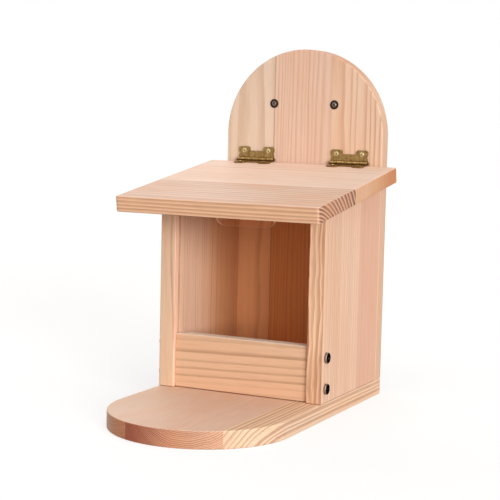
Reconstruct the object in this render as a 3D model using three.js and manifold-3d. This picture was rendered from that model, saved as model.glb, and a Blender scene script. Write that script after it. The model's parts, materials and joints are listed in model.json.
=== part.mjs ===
// Squirrel feeder box in softwood boards: a D-shaped platform, two side panels with sloping tops,
// a round-topped backboard, a front lip board, a clear pane in grooves and an overhanging lid on
// two small brass hinges. Millimetres, +X to the viewer's right, +Y to the back, +Z up.
// The origin is the middle of the bounding box at the platform's underside.

import * as THREE from 'three';
import { mergeVertices } from 'three/addons/utils/BufferGeometryUtils.js';
import Module from 'manifold-3d';

const wasm = await Module();
wasm.setup();

// Boards
const boardThickness = 14;
const boxWidth = 150;
const sideDepth = 120;
const sideFrontHeight = 157;
const sideRearHeight = 175;
const backboardRise = 113.5;
const platformReach = 137;
const lipHeight = 46;
const lipSetback = 3;
const easedEdge = 1.2;

// Lid
const lidWidth = 180;
const lidLength = 170;
const lidThickness = 13;
const lidCornerRadius = 2.5;
const lidRestGap = 0.3;
const lidRearGap = 0.5;

// Clear pane and its grooves
const paneThickness = 3;
const paneSetback = 6.3;
const grooveDepth = 5;
const paneFaceGap = 0.3;
const paneEndGap = 0.5;
const paneLift = 2;
const paneLidGap = 0.3;
const notchWidth = 54;
const notchDepth = 16.5;
const notchRadius = 8;

// Hinges
const hingeInset = 30;
const leafWidth = 36;
const leafReach = 11.4;
const leafThickness = 0.9;
const leafSeatGap = 0.3;
const knuckleRadius = 1.7;
const knuckleCount = 5;
const knuckleGap = 0.3;
const pinRadius = 0.8;
const pinGap = 0.15;
const pinHeadRadius = 1.3;
const pinHeadLength = 0.6;
const earRadius = 6;
const earHeight = 3.6;
const collarReach = 2.9;
const waistReach = 4.4;
const waistDepth = 1.2;
const earStartAngle = -Math.PI / 7;

// Screws: head radius, shank radius, length over all, tip length, and the cross recess's width.
// Most heads are countersunk: they have a cone of the given depth, and their top stands proud of
// the face by rise, or below it where rise is negative. A pan head stands on the face instead: it
// has a height, and a rounding at its top edge.
const lipScrew = { head: 4.5, pan: 2, rounding: 0.8, shank: 2.2, length: 35, tip: 5, recess: 5 };
const wallScrew = { head: 4, cone: 2.4, shank: 2, length: 40, tip: 5, rise: 0.3, recess: 4.6 };
const frameScrew = { head: 4, cone: 2.4, shank: 2, length: 40, tip: 5, rise: -0.4, recess: 4.6 };
const hingeScrew = { head: 2.1, cone: 1.2, shank: 1, length: 10, tip: 3, rise: 0.2, recess: 2.4 };
const screwGap = 0.2;
const recessWidthShare = 0.26;
const recessDepthShare = 0.6;

// Screw places
const lipScrewSetback = 8;
const lipScrewLowInset = 12;
const lipScrewHighInset = 8.5;
const wallScrewSpacing = 58;
const wallScrewRise = 27;
const platformScrewFrontInset = 26;
const platformScrewRearInset = 36;
const backScrewLowInset = 32;
const backScrewHighInset = 34;

// Facets and cuts
const archSegments = 20;
const cornerSegments = 3;
const earSegments = 6;
const easeSegments = 2;
const roundSegments = 16;
const overrun = 1;

// Places worked out from the sizes above
const halfWidth = boxWidth / 2;
const halfInside = halfWidth - boardThickness;
const floorTop = boardThickness;
const backFace = sideDepth;
const rearFace = backFace + boardThickness;
const backboardHeight = sideRearHeight + backboardRise;
const archCentre = floorTop + backboardHeight - halfWidth;
const sideFrontTop = floorTop + sideFrontHeight;
const sideRearTop = floorTop + sideRearHeight;
const lidSlope = Math.atan2(sideRearHeight - sideFrontHeight, sideDepth);
const axisOffset = knuckleRadius + leafSeatGap;
const hingeAxisY = backFace - axisOffset;
const axisAboveSides = lidRestGap + lidThickness + axisOffset;
const hingeAxisZ = sideFrontTop + hingeAxisY * Math.tan(lidSlope) + axisAboveSides / Math.cos(lidSlope);
const lidRearLean = (axisOffset + lidThickness) * Math.sin(lidSlope);
const lidRearInset = (lidRearLean - axisOffset + lidRearGap) / Math.cos(lidSlope);
const lipTop = floorTop + lipHeight;
const paneHalfWidth = halfInside + grooveDepth - paneEndGap;
const lidUndersideAtPane = sideFrontTop + paneSetback * Math.tan(lidSlope) + lidRestGap / Math.cos(lidSlope);
const paneTop = lidUndersideAtPane - paneLift - paneLidGap;
const screwX = halfWidth - boardThickness / 2;
const wallScrewTip = backFace - wallScrew.rise + wallScrew.length;
const middleY = (Math.max(rearFace, wallScrewTip) - platformReach) / 2;

// Materials
const woodColour = (hex) => new THREE.MeshStandardMaterial({ color: hex, roughness: 0.75 });
const boardWood = woodColour(0xe6bd9c);
const lidWood = woodColour(0xebc8aa);
const platformWood = woodColour(0xd9b18f);
const acrylic = new THREE.MeshStandardMaterial({
  color: 0xf2f6f5, roughness: 0.05, transparent: true, opacity: 0.25,
});
const brass = new THREE.MeshStandardMaterial({ color: 0x8c6937, roughness: 0.4, metalness: 1 });
const steel = new THREE.MeshStandardMaterial({ color: 0x54504e, roughness: 0.45, metalness: 1 });

const xAxis = new THREE.Vector3(1, 0, 0);
const yAxis = new THREE.Vector3(0, 1, 0);
const zAxis = new THREE.Vector3(0, 0, 1);

// Solids from three.js geometries, and back again
function solidOf(geometry) {
  const bare = geometry.clone();
  bare.deleteAttribute('normal');
  bare.deleteAttribute('uv');
  const welded = mergeVertices(bare);
  return new wasm.Manifold(new wasm.Mesh({
    numProp: 3,
    vertProperties: new Float32Array(welded.attributes.position.array),
    triVerts: new Uint32Array(welded.index.array),
  }));
}

function geometryOf(solid) {
  const mesh = solid.getMesh();
  const indexed = new THREE.BufferGeometry();
  indexed.setAttribute('position', new THREE.BufferAttribute(mesh.vertProperties, mesh.numProp));
  indexed.setIndex(new THREE.BufferAttribute(mesh.triVerts, 1));
  const geometry = indexed.toNonIndexed();
  geometry.computeVertexNormals();
  return geometry;
}

function cutAll(solid, cutters) {
  return cutters.reduce((rest, cutter) => rest.subtract(cutter), solid);
}

function named(name, geometry, material) {
  const mesh = new THREE.Mesh(geometry, material);
  mesh.name = name;
  return mesh;
}

// A board sawn to an outline, with all its edges eased. It stands on its first face at zero.
function board(outline, thickness, curveSegments = cornerSegments) {
  const geometry = new THREE.ExtrudeGeometry(outline, {
    depth: thickness - 2 * easedEdge,
    bevelThickness: easedEdge,
    bevelSize: easedEdge,
    bevelOffset: -easedEdge,
    bevelSegments: easeSegments,
    curveSegments,
  });
  return geometry.translate(0, 0, easedEdge);
}

function plate(outline, thickness, curveSegments) {
  return new THREE.ExtrudeGeometry(outline, { depth: thickness, bevelEnabled: false, curveSegments });
}

function box(corner, opposite) {
  const bounds = new THREE.Box3().setFromPoints([corner, opposite]);
  const size = bounds.getSize(new THREE.Vector3());
  const centre = bounds.getCenter(new THREE.Vector3());
  return new THREE.BoxGeometry(size.x, size.y, size.z).translate(centre.x, centre.y, centre.z);
}

// A profile of [radius, height] pairs, from the bottom up, turned about +Z
function turned(profile) {
  const points = profile.map(([radius, height]) => new THREE.Vector2(radius, height));
  return new THREE.LatheGeometry(points, roundSegments).rotateX(Math.PI / 2);
}

// A rod along +X between two ends
function rod(radius, start, end) {
  return turned([[0, start], [radius, start], [radius, end], [0, end]]).rotateY(Math.PI / 2);
}

// Screws: the head's top is at zero and the shank runs down -Z
function shankProfile(kind, gap) {
  return [[0, -kind.length - gap], [kind.shank + gap, kind.tip - kind.length - gap]];
}

function headProfile(kind) {
  if (kind.pan) {
    const crown = kind.head - kind.rounding;
    return [[kind.shank, -kind.pan], [kind.head, -kind.pan], [kind.head, -kind.rounding], [crown, 0], [0, 0]];
  }
  return [[kind.shank, -kind.cone], [kind.head, 0], [0, 0]];
}

// Above the shank, the hole is a straight bore under a pan head, and else a countersink
function mouthProfile(kind) {
  const bore = kind.shank + screwGap;
  const mouth = kind.head + screwGap;
  if (kind.pan) {
    return [[bore, 0], [0, 0]];
  }
  return [[bore, -kind.cone - screwGap], [mouth, -screwGap], [mouth, overrun], [0, overrun]];
}

function screwGeometry(kind) {
  const body = solidOf(turned([...shankProfile(kind, 0), ...headProfile(kind)]));
  const reach = kind.recess / 2;
  const width = kind.head * recessWidthShare / 2;
  const depth = (kind.pan ?? kind.cone) * recessDepthShare;
  const slot = box(new THREE.Vector3(-reach, -width, -depth), new THREE.Vector3(reach, width, overrun));
  const cross = solidOf(slot).add(solidOf(slot.clone().rotateZ(Math.PI / 2)));
  return geometryOf(body.subtract(cross));
}

// A screw stands at a point of a face and points out of it: place = { name, kind, at, out }
function screwMatrix(place) {
  const turn = new THREE.Quaternion().setFromUnitVectors(zAxis, place.out);
  const rise = place.kind.pan ? place.kind.pan + screwGap : place.kind.rise;
  const head = place.at.clone().addScaledVector(place.out, rise);
  return new THREE.Matrix4().makeRotationFromQuaternion(turn).setPosition(head);
}

function screwMesh(place) {
  const material = place.kind === hingeScrew ? brass : steel;
  const mesh = named(place.name, screwGeometry(place.kind), material);
  mesh.applyMatrix4(screwMatrix(place));
  return mesh;
}

// The hole that a screw needs, in the frame of the group that the screw's place is given in
function screwHole(place, frame = new THREE.Matrix4()) {
  const hole = turned([...shankProfile(place.kind, screwGap), ...mouthProfile(place.kind)]);
  return solidOf(hole.applyMatrix4(screwMatrix(place)).applyMatrix4(frame));
}

function bothSides(make) {
  return [['left', -1], ['right', 1]].flatMap(([side, sign]) => make(side, sign));
}

// Two screws a side hold the lip board's ends between the side panels
function lipScrews() {
  const heights = { lower: floorTop + lipScrewLowInset, upper: lipTop - lipScrewHighInset };
  return bothSides((side, sign) => Object.entries(heights).map(([level, z]) => ({
    name: `${side}_lip_screw_${level}`,
    kind: lipScrew,
    at: new THREE.Vector3(sign * halfWidth, lipScrewSetback, z),
    out: xAxis.clone().multiplyScalar(sign),
  })));
}

// Two screws through the top of the backboard carry the feeder on a tree or wall
function wallScrews() {
  return bothSides((side, sign) => ({
    name: `${side}_wall_screw`,
    kind: wallScrew,
    at: new THREE.Vector3(sign * wallScrewSpacing / 2, backFace, archCentre + wallScrewRise),
    out: yAxis.clone().negate(),
  }));
}

// Screws up through the platform into the side panels
function platformScrews() {
  const places = { front: platformScrewFrontInset, rear: sideDepth - platformScrewRearInset };
  return bothSides((side, sign) => Object.entries(places).map(([end, y]) => ({
    name: `${side}_platform_screw_${end}`,
    kind: frameScrew,
    at: new THREE.Vector3(sign * screwX, y, 0),
    out: zAxis.clone().negate(),
  })));
}

// Screws from behind through the backboard into the side panels' rear edges
function backScrews() {
  const heights = { lower: floorTop + backScrewLowInset, upper: sideRearTop - backScrewHighInset };
  return bothSides((side, sign) => Object.entries(heights).map(([level, z]) => ({
    name: `${side}_back_screw_${level}`,
    kind: frameScrew,
    at: new THREE.Vector3(sign * screwX, rearFace, z),
    out: yAxis,
  })));
}

// The two screws of one hinge leaf, in the leaf's own frame, with their names from its -X end
function leafScrews(names) {
  const face = leafThickness - knuckleRadius;
  const spread = leafWidth / 2 - earRadius;
  return names.map((name, index) => ({
    name,
    kind: hingeScrew,
    at: new THREE.Vector3(index === 0 ? -spread : spread, leafReach - earHeight, face),
    out: zAxis,
  }));
}

function leafHoles(frame) {
  return leafScrews(['', '']).map((place) => screwHole(place, frame));
}

// Boards of the box
function platformGeometry(holes) {
  const outline = new THREE.Shape();
  outline.moveTo(halfWidth, rearFace);
  outline.lineTo(-halfWidth, rearFace);
  outline.absarc(0, halfWidth - platformReach, halfWidth, Math.PI, 2 * Math.PI);
  outline.closePath();
  return geometryOf(cutAll(solidOf(board(outline, boardThickness, archSegments)), holes));
}

function backboardGeometry(holes) {
  const outline = new THREE.Shape();
  outline.moveTo(-halfWidth, floorTop);
  outline.lineTo(halfWidth, floorTop);
  outline.absarc(0, archCentre, halfWidth, 0, Math.PI);
  outline.closePath();
  const standing = board(outline, boardThickness, archSegments).rotateX(Math.PI / 2);
  return geometryOf(cutAll(solidOf(standing.translate(0, rearFace, 0)), holes));
}

function sidePanelGeometry(sign, holes) {
  const outline = new THREE.Shape();
  outline.moveTo(0, floorTop);
  outline.lineTo(backFace, floorTop);
  outline.lineTo(backFace, sideRearTop);
  outline.lineTo(0, sideFrontTop);
  outline.closePath();
  const standing = board(outline, boardThickness).rotateX(Math.PI / 2).rotateZ(Math.PI / 2);
  const panel = standing.translate(sign * screwX - boardThickness / 2, 0, 0);
  const inner = sign * halfInside;
  const grooveRear = paneSetback + paneThickness + paneFaceGap;
  const groove = box(
    new THREE.Vector3(inner - sign * overrun, paneSetback - paneFaceGap, floorTop - overrun),
    new THREE.Vector3(inner + sign * grooveDepth, grooveRear, sideRearTop + overrun),
  );
  return geometryOf(cutAll(solidOf(panel), [solidOf(groove), ...holes]));
}

function lipBoardGeometry(holes) {
  const outline = new THREE.Shape();
  outline.moveTo(-halfInside, floorTop);
  outline.lineTo(halfInside, floorTop);
  outline.lineTo(halfInside, lipTop);
  outline.lineTo(-halfInside, lipTop);
  outline.closePath();
  const standing = board(outline, boardThickness).rotateX(Math.PI / 2);
  return geometryOf(cutAll(solidOf(standing.translate(0, lipSetback + boardThickness, 0)), holes));
}

// The pane stands on the lip board. The notch in its top edge is for lifting it out.
function paneGeometry() {
  const notchFloor = paneTop - notchDepth;
  const cornerX = notchWidth / 2 - notchRadius;
  const cornerZ = notchFloor + notchRadius;
  const outline = new THREE.Shape();
  outline.moveTo(-paneHalfWidth, lipTop);
  outline.lineTo(paneHalfWidth, lipTop);
  outline.lineTo(paneHalfWidth, paneTop);
  outline.lineTo(notchWidth / 2, paneTop);
  outline.absarc(cornerX, cornerZ, notchRadius, 0, -Math.PI / 2, true);
  outline.absarc(-cornerX, cornerZ, notchRadius, -Math.PI / 2, -Math.PI, true);
  outline.lineTo(-notchWidth / 2, paneTop);
  outline.lineTo(-paneHalfWidth, paneTop);
  outline.closePath();
  const standing = plate(outline, paneThickness, cornerSegments).rotateX(Math.PI / 2);
  return standing.translate(0, paneSetback + paneThickness, 0);
}

// The lid in its own frame: the hinge axis is the origin, +Y runs up the slope to the rear
function lidGeometry(holes) {
  const outline = new THREE.Shape();
  const half = lidWidth / 2;
  const corner = half - lidCornerRadius;
  const rear = -lidRearInset;
  const front = rear - lidLength;
  outline.absarc(corner, rear - lidCornerRadius, lidCornerRadius, 0, Math.PI / 2);
  outline.absarc(-corner, rear - lidCornerRadius, lidCornerRadius, Math.PI / 2, Math.PI);
  outline.absarc(-corner, front + lidCornerRadius, lidCornerRadius, Math.PI, 1.5 * Math.PI);
  outline.absarc(corner, front + lidCornerRadius, lidCornerRadius, 1.5 * Math.PI, 2 * Math.PI);
  outline.closePath();
  const lying = board(outline, lidThickness);
  return geometryOf(cutAll(solidOf(lying.translate(0, 0, -axisOffset - lidThickness)), holes));
}

// A hinge leaf in its own frame: the axis runs along X, the leaf along +Y, its open face up +Z
function leafOutline() {
  const half = leafWidth / 2;
  const earX = half - earRadius;
  const earY = leafReach - earHeight;
  const outline = new THREE.Shape();
  outline.moveTo(-half, 0);
  outline.lineTo(half, 0);
  outline.lineTo(half, collarReach);
  outline.lineTo(half - waistDepth, waistReach);
  outline.absellipse(earX, earY, earRadius, earHeight, earStartAngle, Math.PI);
  outline.absellipse(-earX, earY, earRadius, earHeight, 0, Math.PI - earStartAngle);
  outline.lineTo(waistDepth - half, waistReach);
  outline.lineTo(-half, collarReach);
  outline.closePath();
  return outline;
}

// The knuckles of the two leaves share the barrel by turns, the first one being the fixed leaf's
function leafGeometry(hasFirstKnuckle) {
  const pitch = leafWidth / knuckleCount;
  const flat = plate(leafOutline(), leafThickness, earSegments).translate(0, 0, -knuckleRadius);
  let leaf = solidOf(flat);
  for (let number = 0; number < knuckleCount; number += 1) {
    const start = number * pitch - leafWidth / 2;
    const isFixedLeafs = number % 2 === 0;
    if (isFixedLeafs === hasFirstKnuckle) {
      const ends = [start + knuckleGap / 2, start + pitch - knuckleGap / 2];
      leaf = leaf.add(solidOf(rod(knuckleRadius, ...ends)));
    } else {
      const ends = [start - knuckleGap / 2, start + pitch + knuckleGap / 2];
      leaf = leaf.subtract(solidOf(rod(knuckleRadius + knuckleGap, ...ends)));
    }
  }
  const reach = leafWidth / 2 + overrun;
  const bore = solidOf(rod(pinRadius + pinGap, -reach, reach));
  return geometryOf(cutAll(leaf, [bore, ...leafHoles(new THREE.Matrix4())]));
}

function pinGeometry() {
  const neck = leafWidth / 2 + knuckleGap;
  const end = neck + pinHeadLength;
  return turned([
    [0, -end], [pinRadius, -end], [pinHeadRadius, -neck - pinHeadLength / 2], [pinHeadRadius, -neck],
    [pinRadius, -neck], [pinRadius, neck],
    [pinHeadRadius, neck], [pinHeadRadius, neck + pinHeadLength / 2], [pinRadius, end], [0, end],
  ]).rotateY(Math.PI / 2);
}

// A leaf with its two screws
function leafGroup(name, hasFirstKnuckle, screwNames) {
  const group = new THREE.Group();
  group.add(named(name, leafGeometry(hasFirstKnuckle), brass));
  leafScrews(screwNames).forEach((place) => group.add(screwMesh(place)));
  return group;
}

// The holes that a leaf's screws need in the board behind it
function holesBehindLeaf(group) {
  group.updateMatrix();
  return leafHoles(group.matrix);
}

// Hinges: the fixed leaf stands against the backboard and the moving one lies on the lid
const hinges = bothSides((side, sign) => {
  const x = sign * (halfWidth - hingeInset);
  const fixedName = `${side}_hinge_backboard_leaf`;
  const fixed = leafGroup(fixedName, true, [`${fixedName}_screw_left`, `${fixedName}_screw_right`]);
  fixed.position.set(x, hingeAxisY, hingeAxisZ);
  fixed.rotation.x = Math.PI / 2;
  const movingName = `${side}_hinge_lid_leaf`;
  const moving = leafGroup(movingName, false, [`${movingName}_screw_right`, `${movingName}_screw_left`]);
  moving.position.x = x;
  moving.rotation.z = Math.PI;
  const pin = named(`${side}_hinge_pin`, pinGeometry(), brass);
  pin.position.set(x, hingeAxisY, hingeAxisZ);
  return { fixed, moving, pin };
});

// The box, which stands still
const boxScrews = [...lipScrews(), ...wallScrews(), ...platformScrews(), ...backScrews()];
const boxHoles = boxScrews.map((place) => screwHole(place));
const fixedLeafHoles = hinges.flatMap((hinge) => holesBehindLeaf(hinge.fixed));

const housing = new THREE.Group();
housing.add(named('platform_base', platformGeometry(boxHoles), platformWood));
housing.add(named('backboard', backboardGeometry([...boxHoles, ...fixedLeafHoles]), boardWood));
housing.add(named('left_side_panel', sidePanelGeometry(-1, boxHoles), boardWood));
housing.add(named('right_side_panel', sidePanelGeometry(1, boxHoles), boardWood));
housing.add(named('front_lip_board', lipBoardGeometry(boxHoles), boardWood));
housing.add(named('window_pane', paneGeometry(), acrylic));
boxScrews.forEach((place) => housing.add(screwMesh(place)));
hinges.forEach((hinge) => housing.add(hinge.fixed, hinge.pin));

// The lid, which turns on the hinge axis
const lid = new THREE.Group();
lid.position.set(0, hingeAxisY, hingeAxisZ);
lid.rotation.x = lidSlope;
const lidHoles = hinges.flatMap((hinge) => holesBehindLeaf(hinge.moving));
lid.add(named('lid_board', lidGeometry(lidHoles), lidWood));
hinges.forEach((hinge) => lid.add(hinge.moving));

const feeder = new THREE.Group();
feeder.position.y = -middleY;
feeder.add(housing, lid);

export default feeder;
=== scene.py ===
# %% [markdown]
# # A squirrel feeder box
# The feeder is a small garden box in planed softwood: a D-shaped platform, two side panels with
# sloping tops, a round-topped backboard, a lip board across the front, a clear pane in grooves and
# an overhanging lid on two small brass hinges. The measured model is loaded first, as a fixed
# frame. Everything that is made here takes its size and place from it, so that all of it fits.

# %% Load the measured model
import json
import math
import bpy
from mathutils import Matrix, Vector


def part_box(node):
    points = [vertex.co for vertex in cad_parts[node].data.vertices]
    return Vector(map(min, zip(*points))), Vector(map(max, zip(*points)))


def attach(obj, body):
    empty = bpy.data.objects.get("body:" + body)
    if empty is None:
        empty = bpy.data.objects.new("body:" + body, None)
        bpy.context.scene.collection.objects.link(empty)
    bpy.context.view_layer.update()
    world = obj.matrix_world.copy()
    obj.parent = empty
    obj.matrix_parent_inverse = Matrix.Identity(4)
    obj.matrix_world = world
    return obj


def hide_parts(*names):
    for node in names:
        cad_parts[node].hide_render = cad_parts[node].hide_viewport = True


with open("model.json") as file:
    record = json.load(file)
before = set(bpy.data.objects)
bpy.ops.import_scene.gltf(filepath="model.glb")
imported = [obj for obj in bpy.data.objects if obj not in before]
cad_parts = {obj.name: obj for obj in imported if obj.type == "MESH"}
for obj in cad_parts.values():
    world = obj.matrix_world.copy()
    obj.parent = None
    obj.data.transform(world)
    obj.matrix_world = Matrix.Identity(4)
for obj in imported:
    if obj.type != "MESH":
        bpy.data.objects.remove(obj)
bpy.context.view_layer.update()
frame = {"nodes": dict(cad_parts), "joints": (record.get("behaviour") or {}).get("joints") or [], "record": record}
mm = 0.001

# %% [markdown]
# ## The camera
# The photograph looks at the front and the right side from a little above the middle of the box.
# The camera's place could be tried by hand, but corners of the box were measured in the picture
# and the camera was fitted to them, so its angles are odd numbers. Three directions make up its
# turn: to the right of the picture, up in the picture, and back towards the photographer.

# %% Camera
camera_place = Vector((503.73, -1032.44, 253.97)) * mm
azimuth, elevation, roll = (math.radians(angle) for angle in (25.881, 5.974, 1.322))
level_share = math.cos(elevation)
back = Vector((math.sin(azimuth) * level_share, -math.cos(azimuth) * level_share, math.sin(elevation)))
level = Vector((math.cos(azimuth), math.sin(azimuth), 0))
upright = back.cross(level)
right = level * math.cos(roll) + upright * math.sin(roll)
up = upright * math.cos(roll) - level * math.sin(roll)
camera_turn = Matrix((right, up, back)).transposed().to_4x4()

camera = bpy.data.objects.new("camera", bpy.data.cameras.new("camera"))
bpy.context.scene.collection.objects.link(camera)
camera.matrix_world = Matrix.Translation(camera_place) @ camera_turn
camera.data.sensor_width = 36
camera.data.lens = 100.78
camera.data.clip_start = 0.02
bpy.context.scene.camera = camera
print("camera at", [round(value, 3) for value in camera_place])

# %% [markdown]
# ## Colours and nodes
# Colours are picked as they look on the screen, in hex, and the render works in linear light, so
# one function turns them. Materials are built from many small nodes, and one function adds a node
# with its settings and its links, which keeps each recipe readable from top to bottom. Inputs go
# by their names. Where a node has several of one name they go by number: a Mix of two colours has
# its share at 0 and the colours at 6 and 7.

# %% Small tools for materials
def srgb(code):
    """A screen colour such as #e6bd9c, as the linear colour that a socket holds."""
    shares = [int(code[start:start + 2], 16) / 255 for start in (1, 3, 5)]
    linear = [share / 12.92 if share <= 0.04045 else ((share + 0.055) / 1.055) ** 2.4 for share in shares]
    return [*linear, 1]


def node(tree, kind, inputs=None, stops=None, **settings):
    """Adds a shader node. An input is a value, or the node or socket that feeds it."""
    made = tree.nodes.new("ShaderNode" + kind)
    for name, value in settings.items():
        setattr(made, name, value)
    for name, value in (inputs or {}).items():
        if isinstance(value, bpy.types.Node):
            value = next(output for output in value.outputs if output.enabled)
        if isinstance(value, bpy.types.NodeSocket):
            tree.links.new(value, made.inputs[name])
        else:
            made.inputs[name].default_value = value
    for index, (position, grey) in enumerate(stops or []):
        ramp = made.color_ramp.elements
        stop = ramp[index] if index < 2 else ramp.new(position)
        stop.position = position
        stop.color = (grey, grey, grey, 1)
    return made


def new_tree(name):
    """A new material, and its empty node tree."""
    material = bpy.data.materials.new(name)
    material.use_nodes = True
    material.node_tree.nodes.clear()
    return material, material.node_tree


print("#e6bd9c is", [round(value, 3) for value in srgb("#e6bd9c")])

# %% [markdown]
# ## Floor and background
# The picture was taken on white, and the floor round the box fades into it. A floor that is only
# painted white would come out grey wherever a lamp is weak. So the camera is shown a dim paper that
# also glows, which is white in the open and darker where the box shades it. Light that bounces up
# to the wood leaves a plain paper. The world is split the same way.

# %% Floor and world
def white_ray(tree):
    """1 for a ray that shows the background: from the camera, off a gloss or through glass.

    It is 0 once the ray has met a matt surface, where it carries light to the wood.
    """
    path = node(tree, "LightPath")
    direct, mirrored = path.outputs["Is Camera Ray"], path.outputs["Is Glossy Ray"]
    seen = node(tree, "Math", {0: direct, 1: mirrored}, operation="MAXIMUM")
    seen = node(tree, "Math", {0: seen, 1: path.outputs["Is Transmission Ray"]}, operation="MAXIMUM")
    bounces = path.outputs["Diffuse Depth"]
    return node(tree, "Math", {0: seen, 1: bounces}, operation="SUBTRACT", use_clamp=True)


bpy.ops.object.select_all(action="DESELECT")
bpy.ops.mesh.primitive_circle_add(vertices=96, radius=30, fill_type="NGON")
floor = bpy.context.object
floor.name = "studio_floor"
paper, tree = new_tree("white studio paper")
plain = node(tree, "BsdfDiffuse", {"Color": srgb("#a9a7a5")})
dim = node(tree, "BsdfDiffuse", {"Color": srgb("#b0afae")})
glow = node(tree, "Emission", {"Color": srgb("#ffffff"), "Strength": 0.64})
shown = node(tree, "AddShader", {0: dim, 1: glow})
mixed = node(tree, "MixShader", {0: white_ray(tree), 1: plain, 2: shown})
node(tree, "OutputMaterial", {"Surface": mixed})
floor.data.materials.append(paper)

world = bpy.data.worlds.new("white studio")
bpy.context.scene.world = world
world.use_nodes = True
world.node_tree.nodes.clear()
tree = world.node_tree
soft = node(tree, "Background", {"Color": srgb("#fffdfb"), "Strength": 0.25})
white = node(tree, "Background", {"Color": srgb("#ffffff"), "Strength": 1})
mixed = node(tree, "MixShader", {0: white_ray(tree), 1: soft, 2: white})
node(tree, "OutputWorld", {"Surface": mixed})
print("paper is made of", len(paper.node_tree.nodes), "nodes")

# %% [markdown]
# ## Lamps
# The studio light is very soft and comes mostly from the right, so the front of the box is a
# little darker than its right side. Area lamps would fade along the floor, so suns are used, each
# with a wide spread that blurs its shadow. The key stands low on the right. A weak one at the front
# and one high above fill it in, and one behind keeps the far sides from going dark. The glint is
# small and sharp: it draws the bright line along the hinges' barrels.

# %% Five suns
# Each has its angle round from the front to the right, its angle above the floor, its strength and
# its spread.
lamps = {
    "key": (50, 7, 3.1, 30),
    "front": (15, 5, 0.4, 50),
    "top": (40, 70, 1.15, 70),
    "rear": (-135, 25, 0.8, 60),
    "glint": (-42, 50, 0.13, 9),
}
for name, (around, above, strength, spread) in lamps.items():
    lamp = bpy.data.objects.new(name, bpy.data.lights.new(name, "SUN"))
    bpy.context.scene.collection.objects.link(lamp)
    lamp.data.energy = strength
    lamp.data.angle = math.radians(spread)
    lamp.rotation_euler = (math.radians(90 - above), 0, math.radians(around))
bpy.context.scene.view_settings.view_transform = "Standard"
print("lamps", list(lamps))

# %% [markdown]
# The clear pane would mirror the bright paper to the camera and veil what is behind it. A
# photographer holds up a black card where the mirror image lies. This one casts no shadow and is
# hidden from the camera and from matt surfaces, so it darkens only mirror images.

# %% Black card for the pane
card_place = (-0.12, -0.25, 0.085)
card_width, card_height = 0.19, 0.16
bpy.ops.object.select_all(action="DESELECT")
bpy.ops.mesh.primitive_plane_add(size=1, location=card_place, rotation=(math.radians(90), 0, 0))
card = bpy.context.object
card.scale = (card_width, card_height, 1)
card.name = "black_card"
felt, tree = new_tree("black felt card")
node(tree, "OutputMaterial", {"Surface": node(tree, "BsdfDiffuse", {"Color": srgb("#0a0a0a")})})
card.data.materials.append(felt)
card.visible_camera = False
card.visible_diffuse = False
card.visible_shadow = False
print("card at", [round(value, 2) for value in card_place])

# %% [markdown]
# ## Planed pine: the rings of a log
# Each board is glued up from staves of pine, and every stave was cut from another log. Growth
# rings are tubes round the log's pith, so a flat face shows them as stripes, wide where it lies
# along the rings and narrow where it cuts across them, and a sawn end shows them as arcs. A
# painted stripe could not turn a corner like that. The pattern here is solid instead: the distance
# from the pith decides the year, and each year goes from pale spring wood to dark late wood.

# %% One year's ring
def season_stops(late):
    """How dark a ring is from its inside to its outside, when its late wood takes this share of it."""
    summer = [(1 - 1.5 * late, 0.12), (1 - late, 0.6), (1 - 0.7 * late, 1), (0.96, 0.95)]
    return [(0, 0.25), (1, 0.3), (0.04, 0), *summer]


print("a ring with a third of late wood", season_stops(0.33))

# %% [markdown]
# A real log is no perfect tube. Slow noise, drawn out along the grain, makes the rings wander, and
# quicker noise ripples them. Good and bad summers make some years wider, and each year has its own
# darkness, down to a steady least. A log that was sawn at a lean has stripes that run at a slant.
# In some logs the rings widen outwards, which a logarithm of the distance gives.

# %% Growth rings
def streaks(tree, log, shift, width, length, **settings):
    """Noise in streaks along the grain, about this wide and this long in mm."""
    scale = (1 / width, 1 / width, 1 / length)
    stretched = node(tree, "Mapping", {"Vector": log, "Location": shift, "Scale": scale})
    return node(tree, "TexNoise", {"Vector": stretched, "Scale": 1, **settings})


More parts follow.
